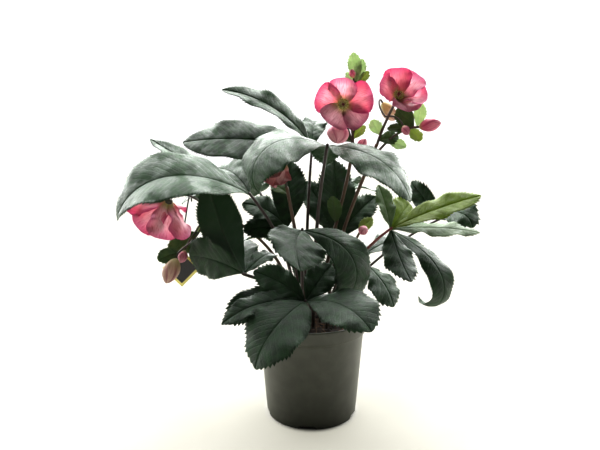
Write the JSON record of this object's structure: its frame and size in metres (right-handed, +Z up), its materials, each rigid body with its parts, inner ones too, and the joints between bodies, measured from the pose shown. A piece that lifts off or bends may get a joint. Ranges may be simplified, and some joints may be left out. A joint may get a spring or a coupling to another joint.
{
  "type": "potted hellebore",
  "caption": "Bushy flowering perennial with large toothed leaves, nodding rose-pink blooms and buds, growing in a plain round taper pot.",
  "frame": {"origin": "centre of the pot's flat underside", "axes": "+Z up along the pot's axis; -Y is the plant's front, the side the picture was taken from; +X to the right as seen from the front"},
  "size_m": [0.4766, 0.4062, 0.4869],
  "materials": {
    "bloom_front_centre": "olive ring of nectaries and stamens",
    "bloom_front_petals": "rose-pink sepals, paler at the tips",
    "bloom_left_centre": "olive ring of nectaries and stamens",
    "bloom_left_petals": "rose-pink sepals, paler at the tips",
    "bloom_right_centre": "olive ring of nectaries and stamens",
    "bloom_right_petals": "rose-pink sepals, paler at the tips",
    "bud_bell": "closed dusty-pink bud",
    "bud_droop": "closed dusty-pink bud",
    "bud_inner": "closed dusty-pink bud",
    "bud_level": "closed dusty-pink bud",
    "bud_low": "closed dusty-pink bud",
    "bud_pale": "closed dusty-pink bud",
    "bud_round": "closed dusty-pink bud",
    "bud_side": "closed dusty-pink bud",
    "bud_tip": "closed dusty-pink bud",
    "bud_top": "closed dusty-pink bud",
    "leaf_back_1": "dark green leathery leaf, pale sheen where light grazes it",
    "leaf_back_2": "dark green leathery leaf, pale sheen where light grazes it",
    "leaf_back_3": "dark green leathery leaf, pale sheen where light grazes it",
    "leaf_back_4": "dark green leathery leaf, pale sheen where light grazes it",
    "leaf_back_left": "dark green leathery leaf, pale sheen where light grazes it",
    "leaf_back_low": "dark green leathery leaf, pale sheen where light grazes it",
    "leaf_centre": "olive ring of nectaries and stamens",
    "leaf_left": "dark green leathery leaf, pale sheen where light grazes it",
    "leaf_left_front": "dark green leathery leaf, pale sheen where light grazes it",
    "leaf_low_left": "dark green leathery leaf, pale sheen where light grazes it",
    "leaf_low_right": "dark green leathery leaf, pale sheen where light grazes it",
    "leaf_low_side": "dark green leathery leaf, pale sheen where light grazes it",
    "leaf_middle": "dark green leathery leaf, pale sheen where light grazes it",
    "leaf_middle_left": "dark green leathery leaf, pale sheen where light grazes it",
    "leaf_right": "dark green leathery leaf, pale sheen where light grazes it",
    "leaf_right_back": "dark green leathery leaf, pale sheen where light grazes it",
    "leaf_right_young": "young yellow-green leaf, reddish stalk",
    "leaf_top": "dark green leathery leaf, pale sheen where light grazes it",
    "pot": "dark taupe moulded plastic, low sheen",
    "soil": "dark peat with loose brown fibres",
    "stem_centre": "olive ring of nectaries and stamens",
    "stem_front": "green to purple-brown stalk with light green bracts",
    "stem_left": "green to purple-brown stalk with light green bracts",
    "stem_low": "green to purple-brown stalk with light green bracts",
    "stem_right": "green to purple-brown stalk with light green bracts",
    "tag": "bare dark grey plastic card"
  },
  "bodies": {
    "root": {"bloom_front_centre": "bloom_front_centre", "bloom_front_petals": "bloom_front_petals", "bloom_left_centre": "bloom_left_centre", "bloom_left_petals": "bloom_left_petals", "bloom_right_centre": "bloom_right_centre", "bloom_right_petals": "bloom_right_petals", "bud_bell": "bud_bell", "bud_droop": "bud_droop", "bud_inner": "bud_inner", "bud_level": "bud_level", "bud_low": "bud_low", "bud_pale": "bud_pale", "bud_round": "bud_round", "bud_side": "bud_side", "bud_tip": "bud_tip", "bud_top": "bud_top", "leaf_back_1": "leaf_back_1", "leaf_back_2": "leaf_back_2", "leaf_back_3": "leaf_back_3", "leaf_back_4": "leaf_back_4", "leaf_back_left": "leaf_back_left", "leaf_back_low": "leaf_back_low", "leaf_centre": "leaf_centre", "leaf_left": "leaf_left", "leaf_left_front": "leaf_left_front", "leaf_low_left": "leaf_low_left", "leaf_low_right": "leaf_low_right", "leaf_low_side": "leaf_low_side", "leaf_middle": "leaf_middle", "leaf_middle_left": "leaf_middle_left", "leaf_right": "leaf_right", "leaf_right_back": "leaf_right_back", "leaf_right_young": "leaf_right_young", "leaf_top": "leaf_top", "pot": "pot", "soil": "soil", "stem_centre": "stem_centre", "stem_front": "stem_front", "stem_left": "stem_left", "stem_low": "stem_low", "stem_right": "stem_right", "tag": "tag"}
  },
  "joints": []
}
